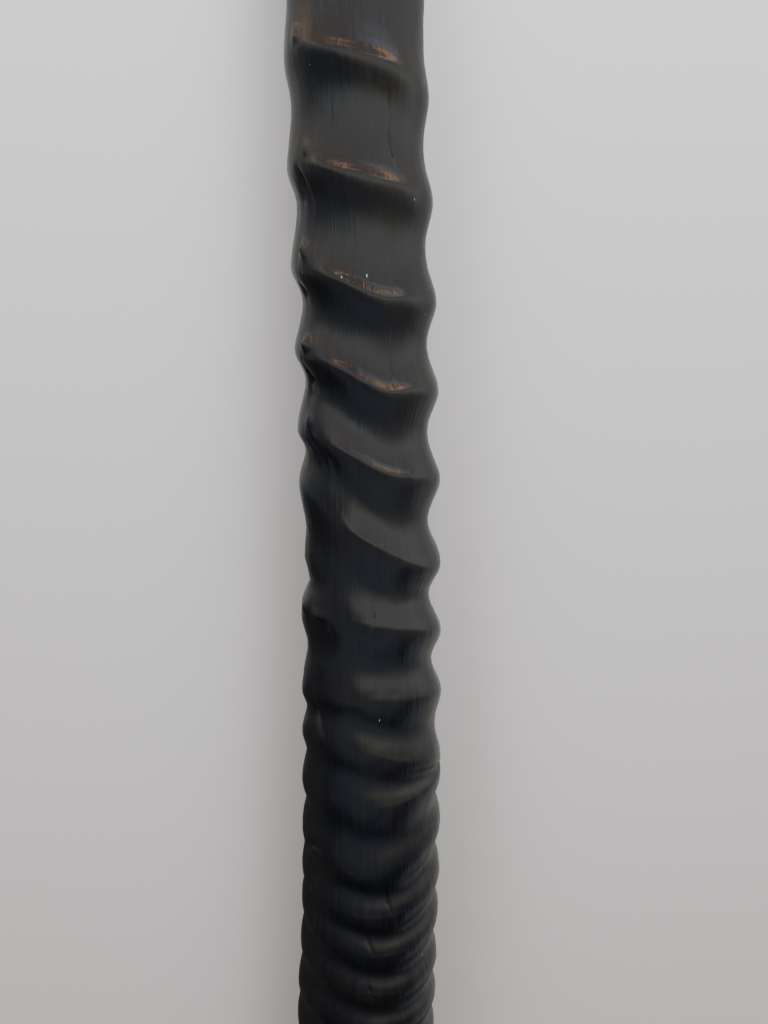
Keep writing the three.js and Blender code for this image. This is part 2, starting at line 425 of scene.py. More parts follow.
@dataclass
class Horn:
    """The keratin sheath from its sawn base to its tip."""

    # Its lengths and radii over the ring crests, its taper, its bow and its hollow.
    node: str = "horn"
    length: float = 940.0
    base_radius: float = 28.5
    tip_radius: float = 1.8
    tip_rounding: float = 3.0
    slow_taper: float = 0.37
    spike_start: float = 0.44
    spike_power: float = 1.4
    flatness: float = 0.95
    bow_start: float = 215.0
    tip_sweep: float = 50.0
    tip_drop: float = 16.5
    cavity_depth: float = 380.0
    cavity_radius: float = 22.0
    cavity_power: float = 1.5
    rest_pitch: float = -0.63
    # The flat sheet: the radius it rolls up to, its columns and rows, and how much closer these
    # stand on the crests and on the side that shows the finest marks.
    sheet_radius: float = 26.0
    columns: int = 196
    rows_per_line: int = 17
    lining_rows: int = 12
    rim_rows: int = 2
    crest_closeness: float = 0.65
    closer_at: float = 70.0
    closeness: float = 0.4
    weld: float = 0.02
    sharp_angle: float = 50.0
    # The ringed face, in cosines of the angle round the horn: where it ends on the left at the
    # first station and at the second, and where it ends on the right.
    face_stations: tuple[float, float] = (260.0, 350.0)
    face_left_low: tuple[float, float] = (-0.5, 0.15)
    face_left_high: tuple[float, float] = (-0.85, -0.25)
    face_right: tuple[float, float] = (1.0, 0.3)
    face_edge: float = 0.15
    # How the rings are formed, and the strip along which they are worn.
    left_skew: float = 0.3
    right_skew: float = 0.05
    lip_sharpness: float = 24.0
    wander: float = 0.15
    dip_at: float = 74.0
    dip_spread: float = 24.0
    worn_at: float = 114.0
    worn_spread: float = 20.0
    worn_from: float = 250.0
    worn_to: float = 320.0
    worn_left: float = 0.5
    raggedness: float = 1.2
    crack_thinning: float = 0.25
    mark_step: float = 0.25
    # Low lumps, knots and lengthwise fibres.
    reliefs: tuple[Relief, ...] = (
        Relief((14.0, 11.0, 14.0), 0.45, 3.0),
        Relief((4.5, 8.0, 4.5), 0.13, 5.0),
        Relief((1.7, 60.0, 1.7), 0.09, 7.0),
    )
    rings: tuple[GrowthLine, ...] = (
        GrowthLine(13, -0.5, 0, 1, 1.5, 1.8, 0.2, 0, 0, -0.2),
        GrowthLine(26, -1, 0, 1, 1.5, 1.9, 0.2, 0, 0, -0.2),
        GrowthLine(40, -1.5, 0, 1, 1.5, 2, 0.2, 0, 0, -0.2),
        GrowthLine(54.5, -2, 0, 1, 1.5, 2.2, 0.3, 0, 0, -0.2),
        GrowthLine(70, -2.5, -0.5, 1, 1.5, 2.4, 0.3, 0, 0, -0.2),
        GrowthLine(86.5, -3, -0.5, 1.1, 1.6, 2.5, 0.6, 0, 0, -0.2),
        GrowthLine(104.5, -4, -3, 1.3, 1.8, 2.6, 0.7, 0.1, 0, -0.25),
        GrowthLine(124, -3, -6.5, 1.5, 1.8, 2.6, 0.7, 0.1, 0, -0.25),
        GrowthLine(140.5, -1.5, -7, 1.6, 1.9, 2.8, 0.8, 0.1, 0, -0.25),
        GrowthLine(160, 1, -8.5, 1.6, 1.4, 2.8, 0.7, 0, 0, -0.2),
        GrowthLine(179.5, 1.5, -2.5, 1.6, 1.5, 1.4, 0.2, 0.1, 0, -0.25),
        GrowthLine(190.5, -6, 7, 1.6, 1.9, 1.8, 0.2, 0.15, 0, -0.3),
        GrowthLine(212.5, -0.5, 5.5, 1.8, 2.2, 3, 0.1, 0.15, 0, -0.35),
        GrowthLine(239.5, -3, 5.5, 2.4, 2.6, 4.2, 0, 0.2, 0, -0.35),
        GrowthLine(278.5, -15.5, -4, 2.8, 3.6, 4.9, -0.2, 0.3, 0.5, -0.3),
        GrowthLine(302.5, -9, 0.5, 2.5, 3.8, 4.3, -0.3, 0.4, -2.5, -0.35),
        GrowthLine(332.5, -7, -2, 4.2, 3.8, 4.2, -0.4, 0.42, -3.5, -0.15),
        GrowthLine(362, -6, -3, 3.1, 3.6, 3.4, -0.5, 0.45, -2.5, 0),
        GrowthLine(394.5, -5.5, -2, 2.7, 3.2, 3.1, -0.8, 0.45, 0, 0.15),
        GrowthLine(428, -5.5, 0.5, 1.6, 2.9, 2.1, -0.9, 0.4, 0, 0.3),
        GrowthLine(463, -4, -2, 1.3, 2.3, 1.4, -0.6, 0.3, 0, 0.2),
        GrowthLine(500, -3, -1, 0.9, 1.5, 0.9, -0.4, 0.2, 0, 0.1),
        GrowthLine(540, -2, -1, 0.5, 0.8, 0.5, -0.3),
        GrowthLine(584, -1, 0, 0.2, 0.3, 0.2),
    )
    smooth_stations: tuple[float, ...] = (700, 850, 937, 940)
    swells: tuple[Swell, ...] = (
        Swell(268, 185, 7, 45, 0.8),
        Swell(257, 185, 4.5, 45, -2.8),
        Swell(445, 0, 12, 40, 1.2),
        Swell(281, 120, 9, 16, -1.0),
        Swell(75, 180, 30, 50, 1.0),
        Swell(160, 0, 60, 45, 0.5),
        Swell(330, 0, 150, 50, 0.8),
        Swell(385, 180, 55, 40, 0.8),
    )
    cracks: tuple[Mark, ...] = (
        Mark(((62, 420), (60, 411), (61, 404), (59, 399), (55, 395)), 0.8, 0.7),
        Mark(((64, 370), (64, 365), (61, 359)), 0.5, 0.6),
        Mark(((63, 350), (65, 340), (66, 332), (62, 327)), 0.7, 0.7),
        Mark(((112, 416), (112, 411), (111, 405)), 0.3, 0.5),
        Mark(((80, 415), (81, 410), (82, 405)), 0.2, 0.5),
        Mark(((114, 290), (113, 287), (114, 284)), 0.3, 0.45),
        Mark(((110, 289), (109, 285), (110, 280)), 0.35, 0.45),
        Mark(((106, 288), (106, 284), (105, 279)), 0.4, 0.45),
        Mark(((101, 286), (102, 282), (101, 278)), 0.3, 0.45),
        Mark(((88, 254), (86, 249), (87, 244)), 0.9, 0.8),
        Mark(((120, 349), (121, 345), (120, 340)), 0.25, 0.4),
        Mark(((99, 320), (98, 315), (99, 310)), 0.25, 0.4),
        Mark(((122, 246), (121, 243), (122, 240)), 0.3, 0.45),
        Mark(((107, 246), (107, 243), (106, 240)), 0.3, 0.45),
        Mark(((77, 144), (74, 139), (72, 133)), 1.2, 1.0),
        Mark(((93, 126), (88, 121), (85, 117)), 0.8, 0.8),
        Mark(((90, 106), (88, 103), (86, 99)), 0.8, 0.8),
    )
    folds: tuple[Mark, ...] = (
        Mark(((148, 399), (142, 393), (134, 384)), 1.5, 1.8),
        Mark(((153, 393), (147, 389), (140, 386)), 1.0, 1.4),
        Mark(((160, 362), (154, 359), (147, 356)), 1.4, 1.8),
        Mark(((154, 334), (147, 330), (139, 326)), 1.6, 1.9),
        Mark(((158, 328), (152, 325), (144, 321)), 1.2, 1.5),
        Mark(((143, 312), (135, 306), (126, 300)), 1.6, 2.0),
        Mark(((124, 306), (119, 301), (116, 296)), 0.9, 1.6),
        Mark(((151, 216), (140, 209), (128, 202)), 1.6, 2.0),
        Mark(((154, 155), (142, 157), (129, 157)), 1.2, 1.8),
        Mark(((173, 138), (160, 137), (146, 138)), 1.2, 1.8),
    )
    knobs: tuple[Mark, ...] = (
        Mark(((149, 437), (143, 436), (137, 436)), -0.8, 2.6),
        Mark(((141, 403), (136, 402), (131, 401)), -0.6, 2.4),
        Mark(((149, 373), (144, 371), (138, 369)), -1.7, 3.0),
        Mark(((151, 342), (145, 340.5), (139, 339)), -2.0, 3.2),
        Mark(((150, 317), (144, 315), (138, 313)), -1.2, 2.8),
        Mark(((160, 269), (153, 268), (147, 266)), -1.2, 2.8),
        Mark(((162, 248), (155, 247.5), (146, 247)), -1.4, 3.0),
        Mark(((148, 246.5), (134, 247), (119, 247.5)), -1.1, 2.6),
    )
    specks: tuple[tuple[float, float], ...] = (
        (128, 426.5), (43, 386.5), (106, 361.5), (86, 362), (144, 364),
        (31, 350.5), (82, 210.5), (33, 108),
    )
    outside_finish: HornKeratin = field(default_factory=HornKeratin)
    sawn_finish: SawnKeratin = field(default_factory=SawnKeratin)
    hollow_finish: HollowKeratin = field(default_factory=HollowKeratin)

    def lines(self) -> list[GrowthLine]:
        """Lists every growth line in order.

        Returns:
            The sawn base, the ring crests and the lines of the smooth part.
        """
        base = GrowthLine(0, 0, 0, 1, 1, 1)
        return [base, *self.rings, *(GrowthLine(at) for at in self.smooth_stations)]

    def growth_points(self) -> bpy.types.Object:
        """Makes the object that the tree grows the sheath from.

        Returns:
            An object with one point for each growth line, which holds its numbers.
        """
        lines = self.lines()
        mesh = bpy.data.meshes.new(self.node)
        mesh.from_pydata([(0, line.at, 0) for line in lines], [], [])
        numbers = {
            "course": [(line.at, line.lean, line.nod) for line in lines],
            "depth": [(line.left, line.top, line.right) for line in lines],
            "form": [(line.full, line.lip, line.dip) for line in lines],
            "skew": [(self.left_skew, line.skew, self.right_skew) for line in lines],
        }
        for name, vectors in numbers.items():
            attribute = mesh.attributes.new(name, "FLOAT_VECTOR", "POINT")
            attribute.data.foreach_set("vector", [part for vector in vectors for part in vector])
        horn = bpy.data.objects.new("keratin_sheath", mesh)
        bpy.context.collection.objects.link(horn)
        return horn

    def mark_sheet(self, kind: MarkKind) -> bpy.types.Object:
        """Makes an object of the marks of one kind, drawn on the flat sheet.

        Args:
            kind: The kind of mark.

        Returns:
            An object of loose edges, or loose points, with their depths and widths.
        """
        marks = {
            MarkKind.CRACK: self.cracks,
            MarkKind.FOLD: self.folds + self.knobs,
            MarkKind.SPECK: tuple(Mark((place,)) for place in self.specks),
        }
        points, edges, depths, widths = [], [], [], []
        for mark in marks[kind]:
            last = len(mark.path) - 1
            for i, (angle, station) in enumerate(mark.path):
                if i > 0:
                    edges.append((len(points) - 1, len(points)))
                points.append((math.radians(angle) * self.sheet_radius, station, 0))
                depths.append(0.0 if last and i in (0, last) else mark.depth)
                widths.append(mark.width)
        mesh = bpy.data.meshes.new(kind.value)
        mesh.from_pydata(points, edges, [])
        for name, numbers in (("depth", depths), ("width", widths)):
            mesh.attributes.new(name, "FLOAT", "POINT").data.foreach_set("value", numbers)
        sheet = bpy.data.objects.new(f"{kind.value}_sheet", mesh)
        bpy.context.collection.objects.link(sheet)
        return sheet

    def build(self) -> bpy.types.Object:
        """Grows the sheath and makes it a plain mesh.

        Returns:
            The finished horn.
        """
        horn = self.growth_points()
        sheets = {kind: self.mark_sheet(kind) for kind in MarkKind}
        tree = SheathTree(self)
        modifier = horn.modifiers.new("Sheath", "NODES")
        modifier.node_group = tree.tree
        for name, identifier in tree.identifiers.items():
            modifier[identifier] = tree.value_of(name, sheets)
        graph = bpy.context.evaluated_depsgraph_get()
        mesh = bpy.data.meshes.new_from_object(horn.evaluated_get(graph))
        horn.modifiers.remove(modifier)
        horn.data = mesh
        mesh.name = horn.name
        for sheet in sheets.values():
            bpy.data.objects.remove(sheet)
        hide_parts(self.node)
        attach(horn, "root")
        return horn

    def resting(self) -> Matrix:
        """Works out how the horn lies where the CAD node lies.

        Returns:
            The turn and shift from the horn's own frame to the floor's, in metres.
        """
        low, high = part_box(self.node)
        turn = Matrix.Rotation(math.radians(self.rest_pitch), 4, "X")
        heel = self.bow_shift(0.0) - Vector((0.0, 0.0, self.flatness * self.base_radius))
        tip = self.bow_shift(self.length) + Vector((0.0, self.length, 0.0))
        shoulder = self.length - self.tip_rounding
        tip_side = self.bow_shift(shoulder) + Vector((-self.tip_radius, shoulder, 0.0))
        shift = Vector((low.x - (turn @ tip_side * MM).x, high.y - (turn @ tip * MM).y,
                        low.z - (turn @ heel * MM).z))
        return Matrix.Translation(shift) @ turn

    def bow_shift(self, station: float) -> Vector:
        """How far the bow moves the axis at a station."""
        along = (station - self.bow_start) / (self.length - self.bow_start)
        return Vector((-self.tip_sweep, 0.0, -self.tip_drop)) * along * along


class SheathTree:
    """The Geometry Nodes tree that grows the sheath."""

    def __init__(self, horn: Horn) -> None:
        """Builds the tree.

        Args:
            horn: The horn whose sizes the tree's inputs take.
        """
        self.horn = horn
        self.flat_grid = ("GeometryNodeMeshGrid", 1.0, 1.0, horn.columns + 1)
        self.tree = bpy.data.node_groups.new("Horn sheath", "GeometryNodeTree")
        self.identifiers: dict[str, str] = {}
        self.sizes = {
            name.replace("_", " ").capitalize(): getattr(horn, name)
            for name in (
                "length", "base_radius", "tip_radius", "tip_rounding", "slow_taper", "spike_start",
                "spike_power", "flatness", "bow_start", "tip_sweep", "tip_drop", "cavity_depth",
                "cavity_radius", "cavity_power", "sheet_radius",
            )
        }
        face = self.tree.interface
        face.new_socket("Growth lines", in_out="INPUT", socket_type="NodeSocketGeometry")
        for name in self.sizes:
            socket = face.new_socket(name, in_out="INPUT", socket_type="NodeSocketFloat")
            self.identifiers[name] = socket.identifier
        for kind in MarkKind:
            socket = face.new_socket(kind.value, in_out="INPUT", socket_type="NodeSocketObject")
            self.identifiers[kind.value] = socket.identifier
        face.new_socket("Sheath", in_out="OUTPUT", socket_type="NodeSocketGeometry")
        self.inputs = self.tree.nodes.new("NodeGroupInput").outputs
        self.grow()

    def value_of(self, name: str, sheets: dict[MarkKind, bpy.types.Object]) -> object:
        """The value of a named input: a size, or the object of a kind of mark."""
        return self.sizes[name] if name in self.sizes else sheets[MarkKind(name)]

    def add(self, kind: NodeKind | str, *values, **more) -> Socket:
        """Adds a node to this tree, as add_node does."""
        return add_node(self.tree, kind, *values, **more)

    def turn(self) -> tuple[Socket, Socket]:
        """Works out where a point of the flat grid lies.

        Returns:
            The angle round the horn, and how far up the grid it is, from 0 to 1. Columns stand
            closer where the finest marks are.
        """
        corner = self.add("GeometryNodeInputPosition")
        x = self.add("ShaderNodeSeparateXYZ", corner)
        y = x.node.outputs["Y"]
        closer_at = math.radians(self.horn.closer_at - 90)
        angle = self.add(MULTIPLY_ADD, x, math.tau, -closer_at)
        wave = self.add(SINE, angle)
        angle = self.add(MULTIPLY_ADD, wave, -self.horn.closeness, angle)
        angle = self.add(ADD, angle, closer_at + math.pi / 2)
        return angle, self.add(ADD, y, 0.5)

    def cosine_and_sine(self, angle: Socket) -> tuple[Socket, Socket]:
        """The cosine and the sine of an angle."""
        return (self.add(COSINE, angle), self.add(SINE, angle))

    def bell(self, angle: Socket, towards: float, spread: float) -> Socket:
        """Shapes a bump over the angle round the horn.

        Args:
            angle: The angle round the horn.
            towards: The angle in degrees of its middle.
            spread: Its half width in degrees.

        Returns:
            1 at its middle, falling off as a bell curve does.
        """
        off = self.add(ADD, angle, -math.radians(towards))
        off = self.add(WRAP, off, -math.pi, math.pi)
        off = self.add(MULTIPLY, off, 1 / math.radians(spread))
        square = self.add(MULTIPLY, off, off)
        return self.add(POWER, math.exp(-1), square)

    def sides(self, angle: Socket, station: Socket) -> Socket:
        """Shares a place out between left, top and right.

        Args:
            angle: The angle round the horn.
            station: The station. The ringed face reaches less far left near the base.

        Returns:
            A vector of the three shares, which add up to 1. Underneath is as on the sides.
        """
        horn = self.horn
        cosine, sine = self.cosine_and_sine(angle)
        left_ends = [
            self.add(MAP_RANGE, station, *horn.face_stations, low, high)
            for low, high in zip(horn.face_left_low, horn.face_left_high)
        ]
        left_end = self.add(SMOOTH_RANGE, cosine, *left_ends, 0.0, 1.0)
        right_end = self.add(SMOOTH_RANGE, cosine, *horn.face_right, 0.0, 1.0)
        up = self.add(MAP_RANGE, sine, 0.0, horn.face_edge, 0.0, 1.0)
        top = self.add(MULTIPLY, left_end, right_end)
        top = self.add(MULTIPLY, top, up)
        rest = self.add(SUBTRACT, 1.0, top)
        right = self.add(MULTIPLY_ADD, cosine, 0.5, 0.5)
        left = self.add(SUBTRACT, 1.0, right)
        left = self.add(MULTIPLY, left, rest)
        right = self.add(MULTIPLY, right, rest)
        return self.add("ShaderNodeCombineXYZ", left, top, right)

    def sampled(self, name: str, lower: Socket, share: Socket) -> Socket:
        """Reads a growth line's numbers between two lines.

        Args:
            name: The attribute on the growth points.
            lower: The index of the line towards the base.
            share: How far the place is towards the next line.

        Returns:
            The numbers at that place.
        """
        numbers = self.add(READ_VECTOR, name)
        upper = self.add(ADD, lower, 1.0)
        ends = [
            self.add(SAMPLE_VECTOR, self.inputs["Growth lines"], numbers, index)
            for index in (lower, upper)
        ]
        return self.add(MIX_VECTOR, share, *ends)

    def crest_radius(self, station: Socket) -> Socket:
        """Works out the radius over the ring crests.

        Args:
            station: The station.

        Returns:
            The radius: a steady taper, then a faster one to the tip, which is rounded.
        """
        size = self.inputs
        along = self.add(DIVIDE, station, size["Length"])
        past = self.add(SUBTRACT, along, size["Spike start"])
        span = self.add(SUBTRACT, 1.0, size["Spike start"])
        spike = self.add(DIVIDE, past, span, use_clamp=True)
        spike = self.add(POWER, spike, size["Spike power"])
        tip_share = self.add(DIVIDE, size["Tip radius"], size["Base radius"])
        share = self.add(SUBTRACT, 1.0, size["Slow taper"])
        share = self.add(SUBTRACT, share, tip_share)
        slow = self.add(MULTIPLY, along, size["Slow taper"])
        lost = self.add(MULTIPLY_ADD, spike, share, slow)
        left = self.add(SUBTRACT, 1.0, lost)
        radius = self.add(MULTIPLY, left, size["Base radius"])
        to_end = self.add(SUBTRACT, size["Length"], station)
        depth = self.add(DIVIDE, to_end, size["Tip rounding"], use_clamp=True)
        back = self.add(SUBTRACT, 1.0, depth)
        square = self.add(MULTIPLY, back, back)
        inside = self.add(SUBTRACT, 1.0, square, use_clamp=True)
        cap = self.add(SQRT, inside)
        return self.add(MULTIPLY, radius, cap)

    def groove(self, share: Socket, sides: Socket, form: Socket, skew: Socket) -> Socket:
        """Shapes the groove between two rings.

        Args:
            share: How far the place is from one crest to the next.
            sides: The shares of left, top and right.
            form: How full the rings are, and how big their lips.
            skew: How much steeper they are towards the base, on each side.

        Returns:
            0 on a crest and 1 at the bottom of the groove.
        """
        undercut = self.add(DOT_PRODUCT, sides, skew)
        phase = self.add(MULTIPLY_ADD, share, -math.tau, math.tau)
        cosine = self.add(COSINE, phase)
        flat = self.add(SUBTRACT, 1.0, cosine)
        phase = self.add(MULTIPLY_ADD, flat, undercut, phase)
        cosine = self.add(COSINE, phase)
        wave = self.add(MULTIPLY_ADD, cosine, 0.5, 0.5)
        top = self.add("ShaderNodeSeparateXYZ", sides, out="Y")
        full = self.add("ShaderNodeSeparateXYZ", form, out="X")
        lip = self.add(MULTIPLY, full.node.outputs["Y"], top)
        tipward = self.add(LESS_THAN, share, 0.5)
        lip = self.add(MULTIPLY, lip, tipward)
        felt = self.add(MULTIPLY_ADD, top, 0.5, 0.5)
        full = self.add(MULTIPLY, full, felt)
        trough = self.add(SUBTRACT, 1.0, wave)
        ridge = self.add(MULTIPLY_ADD, full, trough, 1.0)
        ridge = self.add(MULTIPLY, ridge, wave)
        edge = self.add(POWER, wave, self.horn.lip_sharpness)
        more = self.add(SUBTRACT, edge, ridge)
        ridge = self.add(MULTIPLY_ADD, more, lip, ridge)
        return self.add(SUBTRACT, 1.0, ridge)

    def worn(self, angle: Socket, station: Socket) -> Socket:
        """Works out how much of the ring relief is left where the horn is worn flat.

        Args:
            angle: The angle round the horn.
            station: The station.

        Returns:
            The share that is left: 1 off the worn strip.
        """
        horn = self.horn
        along = self.add(MAP_RANGE, station, horn.worn_from, horn.worn_to, 0.0, 1.0)
        near = self.bell(angle, horn.worn_at, horn.worn_spread)
        left = self.add(MAP_RANGE, near, 0.0, 1.0, 1.0, horn.worn_left)
        return self.add(MAXIMUM, left, along)

    def swell_rise(self, swell: Swell, angle: Socket, station: Socket) -> Socket:
        """Works out the rise of one swelling.

        Args:
            swell: The swelling.
            angle: The angle round the horn.
            station: The station.

        Returns:
            Its rise there.
        """
        along = self.add(MULTIPLY_ADD, station, 1 / swell.reach, -swell.at / swell.reach)
        square = self.add(MULTIPLY, along, along)
        fall = self.add(POWER, math.exp(-1), square)
        around = self.bell(angle, swell.towards, swell.spread)
        fall = self.add(MULTIPLY, fall, around)
        return self.add(MULTIPLY, fall, swell.rise)

    def relief_rise(self, relief: Relief, place: Socket) -> Socket:
        """Works out the rise of fine relief.

        Args:
            relief: The relief.
            place: Where the sheet's points lie once rolled up.

        Returns:
            The rise there.
        """
        scaled = self.add(VECTOR_MULTIPLY, place, tuple(1 / size for size in relief.grain))
        value = self.add("ShaderNodeTexNoise", scaled, noise_dimensions="4D",
                         named={"W": relief.seed, "Scale": 1.0, "Detail": 2.0, "Roughness": 0.55})
        return self.add(MULTIPLY_ADD, value, 2 * relief.height, -relief.height)

    def roll_up(self, geometry: Socket, angle: Socket, station: Socket, radius: Socket) -> Socket:
        """Rolls the flat sheet up round the bowed axis.

        Args:
            geometry: The sheet.
            angle: The angle round the horn of each point.
            station: Its station.
            radius: Its radius.

        Returns:
            The rolled sheet.
        """
        size = self.inputs
        past = self.add(SUBTRACT, station, size["Bow start"])
        span = self.add(SUBTRACT, size["Length"], size["Bow start"])
        along = self.add(DIVIDE, past, span)
        bow = self.add(MULTIPLY, along, along)
        sweep = self.add(MULTIPLY, bow, size["Tip sweep"])
        drop = self.add(MULTIPLY, bow, size["Tip drop"])
        cosine, sine = self.cosine_and_sine(angle)
        height = self.add(MULTIPLY, radius, size["Flatness"])
        x = self.add(MULTIPLY, radius, cosine)
        x = self.add(SUBTRACT, x, sweep)
        z = self.add(MULTIPLY, height, sine)
        z = self.add(SUBTRACT, z, drop)
        position = self.add("ShaderNodeCombineXYZ", x, station, z)
        return self.add("GeometryNodeSetPosition", geometry, named={"Position": position})

    def place_on_sheet(self, angle: Socket, station: Socket) -> Socket:
        """Gives each point a place on a plain cylinder, for patterns with no seam."""
        cosine, sine = self.cosine_and_sine(angle)
        x = self.add(MULTIPLY, cosine, self.inputs["Sheet radius"])
        z = self.add(MULTIPLY, sine, self.inputs["Sheet radius"])
        return self.add("ShaderNodeCombineXYZ", x, station, z)

    def outside(self) -> Socket:
        """Makes the outside, from the sawn base to the tip.

        Returns:
            Its geometry.
        """
        last = len(self.horn.lines()) - 1
        angle, up = self.turn()
        growth = self.add(MULTIPLY, up, float(last))
        wave = self.add(MULTIPLY, growth, math.tau)
        wave = self.add(SINE, wave)
        growth = self.add(MULTIPLY_ADD, wave, -self.horn.crest_closeness / math.tau, growth)
        growth = self.wandered(growth, angle, float(last))
        lower = self.add(FLOOR, growth)
        lower = self.add(MINIMUM, lower, float(last - 1))
        share = self.add(SUBTRACT, growth, lower)
        cosine, sine = self.cosine_and_sine(angle)
        facing = self.add("ShaderNodeCombineXYZ", 1.0, cosine, sine)
        course = self.sampled("course", lower, share)
        sides = self.sides(angle, self.add("ShaderNodeSeparateXYZ", course))
        form = self.sampled("form", lower, share)
        level = self.add(DOT_PRODUCT, course, facing)
        near_dip = self.bell(angle, self.horn.dip_at, self.horn.dip_spread)
        dip = self.add("ShaderNodeSeparateXYZ", form, out="Z")
        station = self.add(MULTIPLY_ADD, dip, near_dip, level)
        depths = self.sampled("depth", lower, share)
        depth = self.add(DOT_PRODUCT, depths, sides)
        depth = self.add(MULTIPLY, depth, self.worn(angle, station))
        groove = self.groove(share, sides, form, self.sampled("skew", lower, share))

        sheet = self.add(*self.flat_grid, last * self.horn.rows_per_line + 1)
        sheet = self.add(STORE_VECTOR, sheet, "place", self.place_on_sheet(angle, station))
        kept = {"groove": groove, "groove_depth": depth, "station": station, "angle": angle}
        for name, value in kept.items():
            sheet = self.add(STORE, sheet, name, value)
        arc = self.add(MULTIPLY, angle, self.inputs["Sheet radius"])
        flat = self.add("ShaderNodeCombineXYZ", arc, station, 0.0)
        sheet = self.add("GeometryNodeSetPosition", sheet, named={"Position": flat})
        sheet, cut = self.marked(sheet)
        sheet = self.specks(sheet)

        angle, station = self.add(READ, "angle"), self.add(READ, "station")
        place = self.add(READ_VECTOR, "place")
        dug = self.add(MULTIPLY, self.add(READ, "groove"), self.add(READ, "groove_depth"))
        radius = self.add(SUBTRACT, self.crest_radius(station), dug)
        radius = self.add(SUBTRACT, radius, cut)
        for swell in self.horn.swells:
            rise = self.swell_rise(swell, angle, station)
            radius = self.add(ADD, radius, rise)
        # Fine relief gets lower towards the tip, as the radius does.
        fade = self.add(MULTIPLY, radius, 1 / self.horn.base_radius, use_clamp=True)
        for relief in self.horn.reliefs:
            radius = self.add(MULTIPLY_ADD, self.relief_rise(relief, place), fade, radius)
        return self.roll_up(sheet, angle, station, radius)

    def wandered(self, growth: Socket, angle: Socket, last: float) -> Socket:
        """Lets the growth lines wander a little, but not the sawn base.

        Args:
            growth: How many growth lines up the horn a place is.
            angle: The angle round the horn.
            last: The number of the last growth line.

        Returns:
            The wandered number of lines.
        """
        cosine, sine = self.cosine_and_sine(angle)
        place = self.add("ShaderNodeCombineXYZ", cosine, growth, sine)
        wander_seed = 11.0
        noise = self.add("ShaderNodeTexNoise", place, noise_dimensions="4D",
                         named={"W": wander_seed, "Scale": 2.2, "Detail": 2.5, "Roughness": 0.55})
        noise = self.add(SUBTRACT, noise, 0.5)
        near_base = self.add(MAP_RANGE, growth, 0.0, 2.0, 0.0, self.horn.wander)
        amount = self.add(MAP_RANGE, growth, last - 4, last - 2, near_base, 0.0)
        return self.add(MULTIPLY_ADD, noise, amount, growth)

    def nearest_mark(self, kind: MarkKind, here: Socket) -> tuple[Socket, Socket, Socket]:
        """Finds the nearest drawn mark of a kind to each point of the flat sheet.

        Args:
            kind: The kind of mark.
            here: Where the point lies, made a little ragged.

        Returns:
            The distance to the mark, its depth there, and the share of its half width that is
            left.
        """
        drawn = self.add("GeometryNodeObjectInfo", self.inputs[kind.value], out="Geometry")
        path = self.add("GeometryNodeMeshToCurve", drawn)
        path = self.add("GeometryNodeResampleCurve", path, None, None, self.horn.mark_step,
                        mode="LENGTH")
        path = self.add("GeometryNodeCurveToMesh", path)
        nearest = self.add("GeometryNodeSampleNearest", path, here)
        there = self.add(SAMPLE_VECTOR, path, self.add("GeometryNodeInputPosition"), nearest)
        depth, width = (
            self.add(SAMPLE, path, self.add(READ, name), nearest)
            for name in ("depth", "width")
        )
        offset = self.add(VECTOR_SUBTRACT, here, there)
        away = self.add(VECTOR_LENGTH, offset)
        share = self.add(DIVIDE, away, width, use_clamp=True)
        return away, depth, self.add(SUBTRACT, 1.0, share)

    def marked(self, sheet: Socket) -> tuple[Socket, Socket]:
        """Cuts the drying cracks and presses the folds.

        Args:
            sheet: The flat sheet.

        Returns:
            The sheet with the distance to the nearest crack stored on it, and the depth of the cuts
            and folds.
        """
        here = self.add("GeometryNodeInputPosition")
        ragged = self.add("ShaderNodeTexNoise", here, out="Color",
                          named={"Scale": 0.6, "Detail": 2.0})
        ragged = self.add(VECTOR_SUBTRACT, ragged, (0.5, 0.5, 0.5))
        ragged = self.add(VECTOR_MULTIPLY_ADD, ragged, (self.horn.raggedness, 0.0, 0.0), here)
        away, depth, inside = self.nearest_mark(MarkKind.CRACK, ragged)
        thin = self.add(ADD, depth, self.horn.crack_thinning)
        sheet = self.add(STORE, sheet, "crack", self.add(DIVIDE, away, thin))
        cut = self.add(MULTIPLY, inside, depth)
        depth, inside = self.nearest_mark(MarkKind.FOLD, ragged)[1:]
        soft = self.add(SMOOTH_RANGE, inside, 0.0, 1.0, 0.0, depth)
        return sheet, self.add(ADD, cut, soft)

    def specks(self, sheet: Socket) -> Socket:
        """Stores the way from each point of the flat sheet to the nearest speck."""
        specks = self.inputs[MarkKind.SPECK.value]
        drawn = self.add("GeometryNodeObjectInfo", specks, out="Geometry")
        nearest = self.add("GeometryNodeSampleNearest", drawn)
        there = self.add(SAMPLE_VECTOR, drawn, self.add("GeometryNodeInputPosition"), nearest)
        here = self.add("GeometryNodeInputPosition")
        way = self.add(VECTOR_SUBTRACT, here, there)
        return self.add(STORE_VECTOR, sheet, "speck", way)

    def lining(self) -> Socket:
        """Makes the wall of the hollow, with its inside facing in.

        Returns:
            Its geometry.
        """
        size = self.inputs
        angle, up = self.turn()
        along = self.add(SUBTRACT, 1.0, up)
        station = self.add(MULTIPLY, along, size["Cavity depth"])
        narrowed = self.add(POWER, along, size["Cavity power"])
        left = self.add(SUBTRACT, 1.0, narrowed)
        radius = self.add(MULTIPLY, left, size["Cavity radius"])
        sheet = self.add(*self.flat_grid, self.horn.lining_rows + 1)
        sheet = self.add(STORE_VECTOR, sheet, "place", self.place_on_sheet(angle, station))
        kept = {"angle": angle, "station": station, "radius": radius}
        for name, value in kept.items():
            sheet = self.add(STORE, sheet, name, value)
        return self.roll_up(sheet, *(self.add(READ, name) for name in kept))

